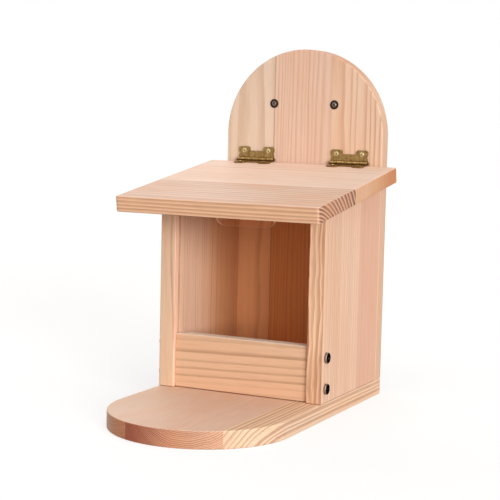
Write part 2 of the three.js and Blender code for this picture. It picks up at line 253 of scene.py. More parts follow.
def growth_rings(tree, log, shift, seed, pith, ring, late=0.35, steady=0.4, wander=2.5, ripple=0.55, wave=70,
                 weather=1.8, lean=(0, 0), widening=None):
    """How dark the rings are, from 0 to 1, at a place in mm in a log whose grain runs along Z.

    widening is the distance from the pith at which rings that widen outwards have the width ring.
    """
    run = node(tree, "SeparateXYZ", {0: log}).outputs["Z"]
    run = node(tree, "CombineXYZ", {0: run, 1: run})
    bent = node(tree, "VectorMath", {0: run, 1: (-lean[0], -lean[1], 0), 2: log}, operation="MULTIPLY_ADD")
    slow = streaks(tree, log, shift, 48, 330, Detail=2)
    quick = streaks(tree, log, shift, 9, wave, Detail=1)
    for noise, sway in ((slow, 2 * wander), (quick, 2 * ripple)):
        moved = {0: noise.outputs["Color"], 1: (sway, sway, 0), 2: bent}
        bent = node(tree, "VectorMath", moved, operation="MULTIPLY_ADD")
    middle = (pith[0] + wander + ripple, pith[1] + wander + ripple, 0)
    spoke = node(tree, "VectorMath", {0: bent, 1: middle}, operation="SUBTRACT")
    spoke = node(tree, "VectorMath", {0: spoke, 1: (1, 1, 0)}, operation="MULTIPLY")
    radius = node(tree, "VectorMath", {0: spoke}, operation="LENGTH")

    grown = node(tree, "Math", {0: radius, 1: math.e}, operation="LOGARITHM") if widening else radius
    years = node(tree, "Math", {0: grown, 1: (widening or 1) / ring, 2: seed}, operation="MULTIPLY_ADD")
    summers = node(tree, "TexNoise", {"W": radius, "Scale": 0.13, "Detail": 1}, noise_dimensions="1D")
    years = node(tree, "Math", {0: summers, 1: weather, 2: years}, operation="MULTIPLY_ADD")
    time_of_year = node(tree, "Math", {0: years}, operation="FRACT")
    season = node(tree, "ValToRGB", {0: time_of_year}, stops=season_stops(late))
    number = node(tree, "Math", {0: years}, operation="FLOOR")
    vigour = node(tree, "TexWhiteNoise", {"W": number}, noise_dimensions="1D")
    vigour = node(tree, "MapRange", {"Value": vigour, "To Min": steady, "To Max": 1})
    return node(tree, "Math", {0: season, 1: vigour}, operation="MULTIPLY")


trial, tree = new_tree("trial")
growth_rings(tree, node(tree, "TexCoord").outputs["Object"], (0, 0, 0), 1, (0, 0), 3)
print("growth rings take", len(tree.nodes), "nodes")
bpy.data.materials.remove(trial)

# %% [markdown]
# Not every face of a board looks alike, so the faces of one side can be given colours of their own. On some boards
# these are the wood's own colours. On the faces inside the box they are painted light and shade: the warm, dim
# light that bounces between the boards. On the top of the lip board they are a painted paler light, where the lid
# shades it. And where two boards or two staves meet there is a thin dark line, which shows the joint even where
# the grain runs on. Between staves it is glue, and at a board's foot it is a dark joint with painted shade in it.

# %% One side of a board, and the lines at its joints
def turned_to(tree, facing, axes, axis, sign, top):
    """1 on faces that look one way along an axis, and 0 on other faces and above a height in mm."""
    turned = {"Value": facing.outputs[axis], "From Min": 0.5 * sign, "From Max": 0.9 * sign}
    turned = node(tree, "MapRange", turned)
    under = {"Value": axes.outputs["Z"], "From Min": top, "From Max": top + 12, "To Min": 1, "To Max": 0}
    under = node(tree, "MapRange", under)
    return node(tree, "Math", {0: turned, 1: under}, operation="MULTIPLY")


def joint_lines(tree, in_mm, seams, colour):
    """Draws seams, each given by a direction, a distance along it, a half width and a strength."""
    for direction, distance, width, strength in seams:
        off = node(tree, "VectorMath", {0: in_mm, 1: direction}, operation="DOT_PRODUCT")
        off = node(tree, "Math", {0: off, 1: distance}, operation="SUBTRACT")
        off = node(tree, "Math", {0: off}, operation="ABSOLUTE")
        line = {"Value": off, "From Min": 0.4 * width, "From Max": width, "To Min": strength, "To Max": 0}
        line = node(tree, "MapRange", line)
        colour = node(tree, "Mix", {0: line, 6: colour, 7: srgb("#7a4526")}, data_type="RGBA")
    return colour


trial, tree = new_tree("trial")
joint_lines(tree, node(tree, "TexCoord").outputs["Object"], [((1, 0, 0), 5, 0.5, 0.4)], srgb("#e6bd9c"))
print("a joint line takes", len(tree.nodes) - 1, "nodes")
bpy.data.materials.remove(trial)

# %% [markdown]
# Planed, bare pine is matt, with an IOR near 1.5, and its late wood is a little glossier. The plane cuts fibres
# open, which flecks the face in streaks about a millimetre wide, and resin clouds it with patches of a warmer
# colour. A sawn end is a shade darker, shows its rings more strongly and has open pores. On such an end, and on a
# side with colours of its own, a tone can fade in along an axis. On the platform's rim it is the wood's own
# colour, and on the lid's end it darkens it towards the hinges. On the side panels it is painted shade.

# %% The wood of one stave
log_axes = {"X": "YZX", "Y": "XZY", "Z": "XYZ"}


def stave(name, grain, pith, ring, pale, dark, seed, depth=0.7, end_depth=0.8, warm="#e2a678", warmth=0.3,
          end="#f0dccb", seams=(), side_colours_and_light=None, fade=None, **growth):
    """Pine with its grain along one axis. Lengths and places, such as the pith's, are in mm."""
    material, tree = new_tree(name)
    place = node(tree, "TexCoord")
    in_mm = node(tree, "VectorMath", {0: place.outputs["Object"], "Scale": 1 / mm}, operation="SCALE")
    axes = node(tree, "SeparateXYZ", {0: in_mm})
    across, through, along = (axes.outputs[axis] for axis in log_axes[grain])
    log = node(tree, "CombineXYZ", {0: across, 1: through, 2: along})
    shift = (3.7 * seed, 1.9 * seed, 7.3 * seed)
    rings = growth_rings(tree, log, shift, seed, pith, ring, **growth)

    facing = node(tree, "SeparateXYZ", {0: place.outputs["Normal"]})
    sawn = node(tree, "Math", {0: facing.outputs[grain]}, operation="ABSOLUTE")
    sawn = node(tree, "MapRange", {"Value": sawn, "From Min": 0.4, "From Max": 0.95})
    strength = node(tree, "MapRange", {"Value": sawn, "To Min": depth, "To Max": end_depth})
    fibre = streaks(tree, log, shift, 0.9, 26, Detail=3, Roughness=0.65)
    fleck = {"Value": fibre, "From Min": 0.3, "From Max": 0.7, "To Min": -0.12, "To Max": 0.12}
    fleck = node(tree, "MapRange", fleck)
    tint = node(tree, "Math", {0: rings, 1: strength, 2: fleck}, operation="MULTIPLY_ADD", use_clamp=True)
    colour = node(tree, "Mix", {0: tint, 6: srgb(pale), 7: srgb(dark)}, data_type="RGBA")
    cloud = streaks(tree, log, shift, 26, 110, Detail=2)
    cloud = node(tree, "MapRange", {"Value": cloud, "From Min": 0.4, "From Max": 0.7, "To Max": warmth})
    colour = node(tree, "Mix", {0: cloud, 6: colour, 7: srgb(warm)}, data_type="RGBA")

    tone = srgb("#ffffff")
    # A tone along an axis: the wood's own colour on the platform's rim, darker towards the hinges on the lid's
    # end, painted shade on the side panels.
    if fade:
        axis, begins, ends, far_tone = fade
        faded = {"Value": axes.outputs[axis], "From Min": begins, "From Max": ends}
        faded = node(tree, "MapRange", faded, interpolation_type="SMOOTHSTEP")
        tone = node(tree, "Mix", {0: faded, 6: tone, 7: srgb(far_tone)}, data_type="RGBA")
    end_tone = node(tree, "Mix", {0: 1, 6: tone, 7: srgb(end)}, data_type="RGBA", blend_type="MULTIPLY")
    colour = node(tree, "Mix", {0: sawn, 6: colour, 7: end_tone}, data_type="RGBA", blend_type="MULTIPLY")
    pores = node(tree, "TexNoise", {"Vector": in_mm, "Scale": 0.8, "Detail": 3, "Roughness": 0.7})
    pores = node(tree, "MapRange", {"Value": pores, "From Min": 0.5, "From Max": 0.68, "To Max": 0.35})
    pores = node(tree, "Math", {0: pores, 1: sawn}, operation="MULTIPLY")
    colour = node(tree, "Mix", {0: pores, 6: colour, 7: srgb("#b07a52")}, data_type="RGBA")

    # Side colours: the wood's own on some boards, and painted light and shade inside the box and on the lip
    # board's top.
    if side_colours_and_light:
        axis, sign, top, side_pale, side_dark, side_depth = side_colours_and_light
        striped = {0: rings, 1: side_depth, 2: fleck}
        striped = node(tree, "Math", striped, operation="MULTIPLY_ADD", use_clamp=True)
        side = node(tree, "Mix", {0: striped, 6: srgb(side_pale), 7: srgb(side_dark)}, data_type="RGBA")
        side = node(tree, "Mix", {0: 1, 6: side, 7: tone}, data_type="RGBA", blend_type="MULTIPLY")
        shown = turned_to(tree, facing, axes, axis, sign, top)
        colour = node(tree, "Mix", {0: shown, 6: colour, 7: side}, data_type="RGBA")
    colour = joint_lines(tree, in_mm, seams, colour)

    dull = node(tree, "MapRange", {"Value": rings, "To Min": 0.7, "To Max": 0.55})
    bump = node(tree, "Bump", {"Strength": 0.5, "Distance": 0.08 * mm, "Height": tint})
    wood = {"Base Color": colour, "Roughness": dull, "IOR": 1.5, "Normal": bump}
    node(tree, "OutputMaterial", {"Surface": node(tree, "BsdfPrincipled", wood)})
    return material


trial = stave("trial", "Z", (0, 40), 3, "#e6bd9c", "#b07a52", 1)
print("a stave's wood takes", len(trial.node_tree.nodes), "nodes")
bpy.data.materials.remove(trial)

# %% [markdown]
# ## Shaping by hand, in code
# A board starts as a block at its size and place. What comes next is what a joiner does: ease the
# edges, drill and countersink for the screws, cut the grooves. Edit mode works on what is
# selected, so one tool picks vertices, edges or faces by where they are, and another adds a
# modifier and applies it at once.

# %% Tools for picking and modifying
def named(name):
    """Names the object that was just made and puts its place and turn into its mesh."""
    piece = bpy.context.object
    piece.name = name
    piece.data.name = name
    bpy.ops.object.transform_apply(location=True, rotation=True, scale=True)
    return piece


def only(piece):
    """Selects one piece and nothing else."""
    bpy.ops.object.select_all(action="DESELECT")
    piece.select_set(True)
    bpy.context.view_layer.objects.active = piece


def pick(piece, kind, test):
    """Goes into edit mode with just those vertices, edges or faces selected that pass the test."""
    only(piece)
    bpy.ops.object.mode_set(mode="EDIT")
    bpy.ops.mesh.select_mode(type=kind)
    bpy.ops.mesh.select_all(action="DESELECT")
    bpy.ops.object.mode_set(mode="OBJECT")
    mesh = piece.data
    for part in {"VERT": mesh.vertices, "EDGE": mesh.edges, "FACE": mesh.polygons}[kind]:
        corners = [part.co] if kind == "VERT" else [mesh.vertices[index].co for index in part.vertices]
        part.select = test(sum(corners, Vector()) / len(corners), part)
    bpy.ops.object.mode_set(mode="EDIT")


def done():
    """Back to object mode."""
    bpy.ops.object.mode_set(mode="OBJECT")


def modify(piece, kind, **settings):
    """Adds a modifier with its settings and applies it."""
    only(piece)
    modifier = piece.modifiers.new(kind.lower(), kind)
    for name, value in settings.items():
        setattr(modifier, name, value)
    bpy.ops.object.modifier_apply(modifier=modifier.name)


bpy.ops.object.select_all(action="DESELECT")
bpy.ops.mesh.primitive_cube_add(size=1)
trial = named("trial")
pick(trial, "FACE", lambda centre, face: centre.z > 0.4)
done()
print("faces picked on top of a cube", sum(face.select for face in trial.data.polygons))
bpy.data.meshes.remove(trial.data)

# %% [markdown]
# Cutting one solid out of another is a boolean, which takes any shape and leaves clean edges. A
# finished piece keeps its place in its mesh and its object at the origin, so a move is applied at
# once. What repeats is made once, and each copy of it gets a mesh of its own.

# %% Tools for blocks, cuts and copies
def cut(piece, cutter, operation="DIFFERENCE"):
    """Cuts one solid out of another, or joins it on, and throws the second one away."""
    modify(piece, "BOOLEAN", operation=operation, object=cutter, solver="EXACT")
    bpy.data.objects.remove(cutter)


def block(name, low, high):
    """A plain block between its lowest and highest corner."""
    bpy.ops.object.select_all(action="DESELECT")
    low, high = Vector(low), Vector(high)
    bpy.ops.mesh.primitive_cube_add(size=1, location=(low + high) / 2, scale=high - low)
    return named(name)


def put(piece, matrix):
    """Moves a piece to its place and puts the move into its mesh."""
    piece.matrix_world = matrix
    only(piece)
    bpy.ops.object.transform_apply(location=True, rotation=True, scale=True)


def copy_of(piece, name, matrix):
    """A copy with its own mesh, put in place."""
    copy = bpy.data.objects.new(name, piece.data.copy())
    copy.data.name = name
    bpy.context.scene.collection.objects.link(copy)
    copy.data.transform(matrix)
    return copy


trial = block("trial", (0, 0, 0), (0.014, 0.1, 0.2))
print("a trial block has", len(trial.data.polygons), "faces")
bpy.data.objects.remove(trial)

# %% [markdown]
# ## Screws
# Cross-head wood screws hold the lip board, the platform, the backboard and the hinges, and two
# more hang the feeder on a tree or a wall. A screw is a head, a shank and a point. It could be
# turned from an outline, but here it starts as a short cone, or a drum for a pan head, whose lower
# end is extruded down in steps, so the same tool also makes the hole for it. The countersunk
# screws on show have slightly domed heads, which catch the light as small spots.

# %% Heads, shanks and points
def tapering(name, top, bottom, height, vertices=40):
    """A cone cut off short, from zero down."""
    bpy.ops.object.select_all(action="DESELECT")
    size = dict(radius1=bottom, radius2=top, depth=height)
    bpy.ops.mesh.primitive_cone_add(vertices=vertices, location=(0, 0, -height / 2), **size)
    return named(name)


def upper(centre, face):
    """The flat top of a screw that stands on its point."""
    return face.normal.z > 0.9


def lower(centre, face):
    """Its flat bottom."""
    return face.normal.z < -0.9


def draw_out(piece, test, move, size=1.0):
    """Extrudes the faces that pass the test, and shrinks or widens the new end about the middle."""
    pick(piece, "FACE", test)
    bpy.ops.mesh.extrude_region_move(TRANSFORM_OT_translate={"value": move})
    bpy.ops.transform.resize(value=(size, size, 1), center_override=(0, 0, 0))
    done()


def crown(screw, dome):
    """Raises a flat head into a low dome."""
    for rise_share, size in ((0.6, 0.78), (0.3, 0.7), (0.1, 0.6)):
        draw_out(screw, upper, (0, 0, rise_share * dome), size)


def add_shank(screw, start, shank, length, tip):
    """Draws the shank and its thinner core out of the head's bottom, down to the point."""
    plain_share, core_share, point_share = 0.35, 0.7, 0.06
    shoulder = 0.2 * shank
    draw_out(screw, lower, (0, 0, start - plain_share * length))
    draw_out(screw, lower, (0, 0, -shoulder), core_share)
    draw_out(screw, lower, (0, 0, tip - (1 - plain_share) * length + shoulder))
    draw_out(screw, lower, (0, 0, -tip), point_share)


trial = tapering("trial", 4 * mm, 2 * mm, 2.4 * mm)
crown(trial, 0.4 * mm)
print("a domed cone has", len(trial.data.polygons), "faces")
bpy.data.objects.remove(trial)

# %% [markdown]
# The cross is cut by two blades that taper downwards, like the tip of a screwdriver. Parts of a screw's head are
# painted dark, as painted shade and painted dark reflection: the shaded ring round a countersunk head, and the
# flat top of a pan head. Which parts are painted dark is marked on the mesh itself, in an attribute, because the
# metal can't tell a rim from a face by its place in the box. A wood screw is dark beyond a share of its head, and
# a pan head on its flat top.

# %% Wood screw, pan screw and hole
def cut_cross(screw, reach, width, depth):
    """Cuts the cross recess."""
    foot_shares = (0.45, 0.7, 1)
    for turn in (0, 90):
        blade = block("blade", (-reach, -width, -depth), (reach, width, 2 * mm))
        pick(blade, "VERT", lambda centre, vertex: centre.z < 0)
        bpy.ops.transform.resize(value=foot_shares, center_override=(0, 0, 0))
        done()
        cut(screw, copy_of(blade, "cross", Matrix.Rotation(math.radians(turn), 4, "Z")))
        bpy.data.objects.remove(blade)


def painted_shade(screw, test):
    """Marks where a head is painted dark, as painted shade and reflection, as 1 in an attribute that the metal
    reads.
    """
    marks = screw.data.attributes.new("painted_shade", "FLOAT", "POINT")
    for mark, vertex in zip(marks.data, screw.data.vertices):
        mark.value = test(vertex.co)


def wood_screw(name, head, cone, shank, length, tip, recess, dome=0, dark=0.5):
    """A countersunk cross-head screw, its head's rim at zero and its point down."""
    screw = tapering(name, head, shank, cone)
    add_shank(screw, cone, shank, length, tip)
    if dome:
        crown(screw, dome)
    cut_cross(screw, recess / 2, 0.13 * head, 0.6 * cone)
    painted_shade(screw, lambda place: place.xy.length > dark * head)
    return screw


def pan_screw(name, head, pan, shank, length, tip, recess, rounding):
    """A pan-head screw, its top at zero. Its head stands on the wood."""
    screw = tapering(name, head, head, pan)
    draw_out(screw, lower, (0, 0, 0), shank / head)
    add_shank(screw, pan, shank, length, tip)
    pick(screw, "EDGE", lambda centre, line: centre.z > -0.01 * mm)
    bpy.ops.mesh.bevel(offset=rounding, segments=5, affect="EDGES")
    done()
    cut_cross(screw, recess / 2, 0.13 * head, 0.7 * pan)
    painted_shade(screw, lambda place: place.z > -0.4 * rounding)
    return screw


def screw_hole(shank, length, head=0, cone=0, pan=0):
    """The hole that a screw needs, a little wider all over: countersunk, or a bore under a pan head."""
    gap = 0.2 * mm
    hole = tapering("hole", (head if cone else shank) + gap, shank + gap, cone or pan)
    draw_out(hole, lower, (0, 0, (cone or pan) - length - gap))
    draw_out(hole, upper, (0, 0, 1 * mm))
    return hole


trial = screw_hole(2 * mm, 20 * mm, 4 * mm, 2.4 * mm)
print("a countersunk hole has", len(trial.data.polygons), "faces")
bpy.data.objects.remove(trial)

# %% [markdown]
# Four sizes of screw do all the work. The frame screws are at the back and underneath, and their heads are flat.
# The hinge screws are small, brassed and not painted dark.

# %% The four screws
screw_sizes = {
    "lip": dict(head=4.5 * mm, pan=2 * mm, shank=2.2 * mm, length=35 * mm),
    "wall": dict(head=4 * mm, cone=2.4 * mm, shank=2 * mm, length=40 * mm),
    "frame": dict(head=4 * mm, cone=2.4 * mm, shank=2 * mm, length=40 * mm),
    "hinge": dict(head=2.1 * mm, cone=1.2 * mm, shank=1 * mm, length=10 * mm),
}
screw_details = {
    "lip": dict(tip=5 * mm, recess=5 * mm, rounding=0.8 * mm),
    "wall": dict(tip=5 * mm, recess=4.6 * mm, dome=0.4 * mm),
    "frame": dict(tip=5 * mm, recess=4.6 * mm),
    "hinge": dict(tip=3 * mm, recess=2.4 * mm, dome=0.3 * mm, dark=1.1),
}
screws = {}
for kind, size in screw_sizes.items():
    make = pan_screw if "pan" in size else wood_screw
    screws[kind] = make(f"{kind}_screw_pattern", **size, **screw_details[kind])
print("screw faces", {kind: len(screw.data.polygons) for kind, screw in screws.items()})

# %% [markdown]
# The wall screws stick out behind the backboard, where their threads show. A thread is one small
# triangle carried round the shank and along it, which is what the Screw modifier does. Its last
# turn shrinks towards the point. The other screws' threads are buried in the wood and left out.

# %% Thread of the wall screws
def section_at(turn, height, reach):
    """A test for the one section of a winding that lies at this turn and near this height."""
    def test(centre, vertex):
        off = (math.atan2(centre.y, centre.x) - turn + math.pi) % (2 * math.pi) - math.pi
        return abs(off) < 0.01 and abs(centre.z - height) < reach
    return test


def add_thread(screw, start, end, crest, root, pitch, steps=24):
    """Winds a thread round a shank, from start down to end, as one solid with it."""
    bpy.ops.object.select_all(action="DESELECT")
    bpy.ops.mesh.primitive_circle_add(vertices=3, radius=1, fill_type="NOTHING")
    thread = named("thread")
    flank_share, least_share = 0.42, 0.35
    section = ((root, flank_share), (crest, 0), (root, -flank_share))
    for vertex, (reach, height) in zip(thread.data.vertices, section):
        vertex.co = (reach, 0, start + height * pitch)
    turns = int((start - end) / pitch)
    winding = dict(axis="Z", angle=math.radians(360), screw_offset=-pitch, iterations=turns)
    modify(thread, "SCREW", **winding, steps=steps, render_steps=steps, use_merge_vertices=False)
    for number in range(steps):
        height = start - turns * pitch + pitch * number / steps
        share = least_share + (1 - least_share) * number / steps
        pick(thread, "VERT", section_at(math.radians(360) * number / steps, height, 0.45 * pitch))
        bpy.ops.transform.resize(value=(share, share, 1), center_override=(0, 0, 0))
        done()
    pick(thread, "EDGE", lambda centre, edge: False)
    bpy.ops.mesh.select_non_manifold()
    bpy.ops.mesh.fill_holes(sides=0)
    bpy.ops.mesh.select_all(action="SELECT")
    bpy.ops.mesh.normals_make_consistent(inside=False)
    done()
    cut(screw, thread, "UNION")


add_thread(screws["wall"], -15 * mm, -35 * mm, 2.05 * mm, 1.3 * mm, 1.9 * mm)
print("wall screw now has", len(screws["wall"].data.polygons), "faces")

# %% [markdown]
# ## The boards
# Every board is planed and its edges are eased by hand with fine paper, to about a millimetre.
# That is a bevel of three small steps with smooth shading, and the flat faces keep their own
# normals. The holes and grooves come after the bevel, because they are cut into the finished
# board and their edges stay sharp. Each board takes its size from the measured model's box. The
# lid lies on the side panels, whose tops fall by 18 mm over their depth of 120 mm.

# %% Sizes and tools for boards
edge = 0.9 * mm
lid_fall, side_depth = 18, 120
overrun = 1 * mm
boxes = {name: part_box(name) for name in frame["nodes"]}
lid_hinge = next(joint for joint in frame["joints"] if joint["name"] == "lid_hinge")
hinge_axis = Vector(lid_hinge["pos_m"])
slope = math.atan2(lid_fall, side_depth)
lid_frame = Matrix.Translation(hinge_axis) @ Matrix.Rotation(slope, 4, "X")


def ease_edges(piece, width=edge, segments=3):
    """Rounds every sharp edge a little."""
    modify(piece, "BEVEL", width=width, segments=segments, limit_method="ANGLE", angle_limit=math.radians(50))


def round_ended(name, half, straight, thickness):
    """A flat board with a half-round end towards -Y, the round's centre at the origin."""
    bpy.ops.object.select_all(action="DESELECT")
    bpy.ops.mesh.primitive_circle_add(vertices=160, radius=half, fill_type="NOTHING")
    board = named(name)
    pick(board, "VERT", lambda centre, vertex: centre.y > 0.01 * mm)
    bpy.ops.mesh.delete(type="VERT")
    done()
    pick(board, "VERT", lambda centre, vertex: centre.y > -0.01 * mm)
    bpy.ops.mesh.extrude_region_move(TRANSFORM_OT_translate={"value": (0, straight, 0)})
    bpy.ops.mesh.select_all(action="SELECT")
    bpy.ops.mesh.edge_face_add()
    bpy.ops.mesh.extrude_region_move(TRANSFORM_OT_translate={"value": (0, 0, thickness)})
    bpy.ops.mesh.select_all(action="SELECT")
    bpy.ops.mesh.normals_make_consistent(inside=False)
    done()
    return board


print("lid slopes", round(math.degrees(slope), 2), "degrees")
print("hinge axis in mm", [round(value / mm, 1) for value in hinge_axis])

# %% [markdown]
# The platform and the backboard have a half-round end. A jigsaw cuts that in one sweep, so the
# outline is drawn first, from half a circle and two straight sides, filled, and drawn up to the
# board's thickness. Both come from the same tool, and the backboard is stood on end afterwards.

# %% Platform and backboard
low, high = boxes["platform_base"]
half = high.x
platform = round_ended("platform_board", half, high.y - low.y - half, high.z - low.z)
put(platform, Matrix.Translation((0, low.y + half, low.z)))
ease_edges(platform)

low, high = boxes["backboard"]
backboard = round_ended("back_board", half, high.z - low.z - half, high.y - low.y)
put(backboard, Matrix.Translation((0, low.y, high.z - half)) @ Matrix.Rotation(math.radians(-90), 4, "X"))
ease_edges(backboard)
for board in (platform, backboard):
    print(board.name, [round(value / mm, 1) for value in board.dimensions])

# %% [markdown]
# The side panels are blocks whose top front edge is let down, so that the lid slopes. A saw kerf
# near the front takes the pane. The lip board is a plain block between the two panels.

# %% Side panels and lip board
groove_gap, groove_depth = 0.3 * mm, 5 * mm
pane_low, pane_high = boxes["window_pane"]
sides = {}
for side, sign in (("left", -1), ("right", 1)):
    low, high = boxes[f"{side}_side_panel"]
    panel = block(f"{side}_side_board", low, high)
    pick(panel, "VERT", lambda centre, vertex: centre.z > low.z + 1 * mm and centre.y < low.y + 1 * mm)
    bpy.ops.transform.translate(value=(0, 0, -lid_fall * mm))
    done()
    ease_edges(panel)
    inner = min(abs(low.x), abs(high.x)) * sign
    left_end, right_end = sorted((inner - sign * overrun, inner + sign * groove_depth))
    groove_low = (left_end, pane_low.y - groove_gap, low.z - overrun)
    groove_high = (right_end, pane_high.y + groove_gap, high.z + overrun)
    cut(panel, block("groove", groove_low, groove_high))
    sides[side] = panel

lip_board = block("lip_board", *boxes["front_lip_board"])
ease_edges(lip_board)
print("sides", {side: len(panel.data.polygons) for side, panel in sides.items()}, "faces")

# %% [markdown]
# The lid is made lying flat, because a block is easy to size along its own axes: the measured
# lid's corners are turned back into the hinge's frame first. Its four corners are rounded, as on
# the real lid, and then it is tilted to the slope on its hinge axis.

# %% Lid
corner_round = 2.5 * mm
flat = [lid_frame.inverted() @ vertex.co for vertex in frame["nodes"]["lid_board"].data.vertices]
lid_low = Vector(min(point[axis] for point in flat) for axis in range(3))
lid_high = Vector(max(point[axis] for point in flat) for axis in range(3))
lid_middle = (lid_low.z + lid_high.z) / 2
lid_board = block("lid_top_board", lid_low, lid_high)
pick(lid_board, "EDGE", lambda centre, line: abs(centre.z - lid_middle) < 0.1 * mm)
bpy.ops.mesh.bevel(offset=corner_round, segments=6, affect="EDGES")
done()
ease_edges(lid_board)
put(lid_board, lid_frame)
print("lid", [round((high - low) / mm, 1) for low, high in zip(lid_low, lid_high)])

# %% [markdown]
# The screws go where the measured model has them. Each one faces out of its board: the lip
# board's screws to the sides, the wall screws to the front, the platform's down and the
# backboard's to the rear. No two crosses end up turned alike, so each gets its own turn.

# %% Holes and screws in the boards
outward = {
    "left_lip": (-1, 0, 0),
    "right_lip": (1, 0, 0),
    "wall": (0, -1, 0),
    "platform": (0, 0, -1),
    "back": (0, 1, 0),
}
boards_with = {
    "lip": ["side", lip_board],
    "wall": [backboard],
    "platform": ["side", platform],
    "back": ["side", backboard],
}
board_screws = sorted(name for name in boxes if "screw" in name and "leaf" not in name)
turn_step = 0.9
placed = []
for number, name in enumerate(board_screws):
    side, place = name.split("_")[:2]
    out = Vector(outward.get(f"{side}_{place}") or outward[place])
    low, high = boxes[name]
    head = Vector((low[axis] + high[axis]) / 2 for axis in range(3))
    for axis, way in enumerate(out):
        if way:
            head[axis] = (high if way > 0 else low)[axis]
    face = Vector((0, 0, 1)).rotation_difference(out).to_matrix().to_4x4()
    matrix = Matrix.Translation(head) @ face @ Matrix.Rotation(turn_step * number, 4, "Z")
    kind = place if place in screws else "frame"
    for board in boards_with[place]:
        hole = screw_hole(**screw_sizes[kind])
        put(hole, matrix)
        cut(sides[side] if board == "side" else board, hole)
    placed.append((name, kind, matrix))
print("screws in the boards", len(placed))

# %% [markdown]
# ## The hinges
# The hinges are the small stamped sort for boxes: a flat leaf with two round ears, one screw in
# each ear, and five knuckles that the two leaves share by turns. Everything is measured from the
# axis, which lies along X. The plate of a leaf lies flat below it, as a strip, a narrower plateau
# and two ears, joined into one solid with its stamped corners rounded.

# %% Plate of a hinge leaf
leaf_half, knuckle = 18 * mm, 1.7 * mm
leaf_top, seat = -0.8 * mm, -1.7 * mm
strip_half, strip_end = 17.2 * mm, 4.6 * mm
plateau_half, plateau_end = 16.6 * mm, 7.6 * mm
ear_x, ear_half, ear_start, ear_end = 12 * mm, 5.5 * mm, 5.2 * mm, 11.4 * mm
screw_y, screw_rim = 7.8 * mm, -0.6 * mm
near = 0.5 * mm


def through_plate(centre):
    """Whether a line runs from one face of the plate to the other."""
    return abs(centre.z - (seat + leaf_top) / 2) < 0.1 * mm


def strip_corner(centre, line):
    """The strip's two far corners."""
    return through_plate(centre) and abs(centre.x) > strip_half - near and centre.y > strip_end - near


def ear_corner(centre, line):
    """An ear's three free corners. The fourth is in the plateau."""
    free = centre.y > ear_end - near or abs(centre.x) > ear_x + ear_half - near
    return through_plate(centre) and free


def plate(name):
    """The flat part of a leaf, from the axis outwards along Y."""
    leaf = block(name, (-strip_half, 0, seat), (strip_half, strip_end, leaf_top))
    pick(leaf, "EDGE", strip_corner)
    bpy.ops.mesh.bevel(offset=0.8 * mm, segments=2, affect="EDGES")
    done()
    cut(leaf, block("plateau", (-plateau_half, 0, seat), (plateau_half, plateau_end, leaf_top)), "UNION")
    for sign in (-1, 1):
        ear_low = (sign * ear_x - ear_half, ear_start, seat)
        ear_high = (sign * ear_x + ear_half, ear_end, leaf_top)
        ear = block("ear", ear_low, ear_high)
        pick(ear, "EDGE", ear_corner)
        bpy.ops.mesh.bevel(offset=2.3 * mm, segments=6, affect="EDGES")
        done()
        cut(leaf, ear, "UNION")
    return leaf


trial = plate("trial")
print("a plate has", len(trial.data.polygons), "faces")
bpy.data.objects.remove(trial)

# %% [markdown]
# The knuckles are rolled from the same sheet round the pin, here joined on as rods. Then the room
# for the other leaf's knuckles and the pin is cut out, with a small running gap, and the stamped
# edges are softened. The pin has a button at each end, so that it can't slide out.

# %% Hinge leaves and pin
running_gap, room = 0.15 * mm, 0.3 * mm
pin_radius, bore, pin_half = 0.8 * mm, 0.95 * mm, 18.4 * mm
button_radius, button_start, button_end = 1.3 * mm, 18.3 * mm, 18.9 * mm


def rod(name, radius, start, end, vertices=40):
    """A round rod along X."""
    bpy.ops.object.select_all(action="DESELECT")
    lying = dict(location=((start + end) / 2, 0, 0), rotation=(0, math.radians(90), 0))
    bpy.ops.mesh.primitive_cylinder_add(vertices=vertices, radius=radius, depth=end - start, **lying)
    return named(name)


def hinge_leaf(name, first):
    """One leaf, its open face up. first is 0 for the leaf with the outer knuckles, else 1."""
    leaf = plate(name)
    pitch = 2 * leaf_half / 5
    starts = [number * pitch - leaf_half for number in range(5)]
    for start in starts[first::2]:
        cut(leaf, rod("knuckle", knuckle, start + running_gap, start + pitch - running_gap), "UNION")
    for start in starts[1 - first::2]:
        cut(leaf, rod("room", knuckle + room, start - running_gap, start + pitch + running_gap))
    cut(leaf, rod("bore", bore, -leaf_half - 2 * mm, leaf_half + 2 * mm))
    for sign in (-1, 1):
        hole = screw_hole(**screw_sizes["hinge"])
        put(hole, Matrix.Translation((sign * ear_x, screw_y, screw_rim)))
        cut(leaf, hole)
    ease_edges(leaf, 0.18 * mm, 2)
    return leaf


leaves = {"backboard": hinge_leaf("fixed_leaf_pattern", 0), "lid": hinge_leaf("moving_leaf_pattern", 1)}
pin = rod("pin_pattern", pin_radius, -pin_half, pin_half, 32)
for sign in (-1, 1):
    ends = sorted((sign * button_start, sign * button_end))
    button = rod("button", button_radius, *ends, 32)
    ease_edges(button, 0.28 * mm)
    cut(pin, button, "UNION")
print("leaf faces", {name: len(leaf.data.polygons) for name, leaf in leaves.items()})

# %% [markdown]
# Each hinge sits on the joint's axis. Its fixed leaf stands against the backboard and its moving
# leaf lies on the lid, turned about, so that what is left on the pattern is right on the lid. The
# boards behind get the screws' holes as well.

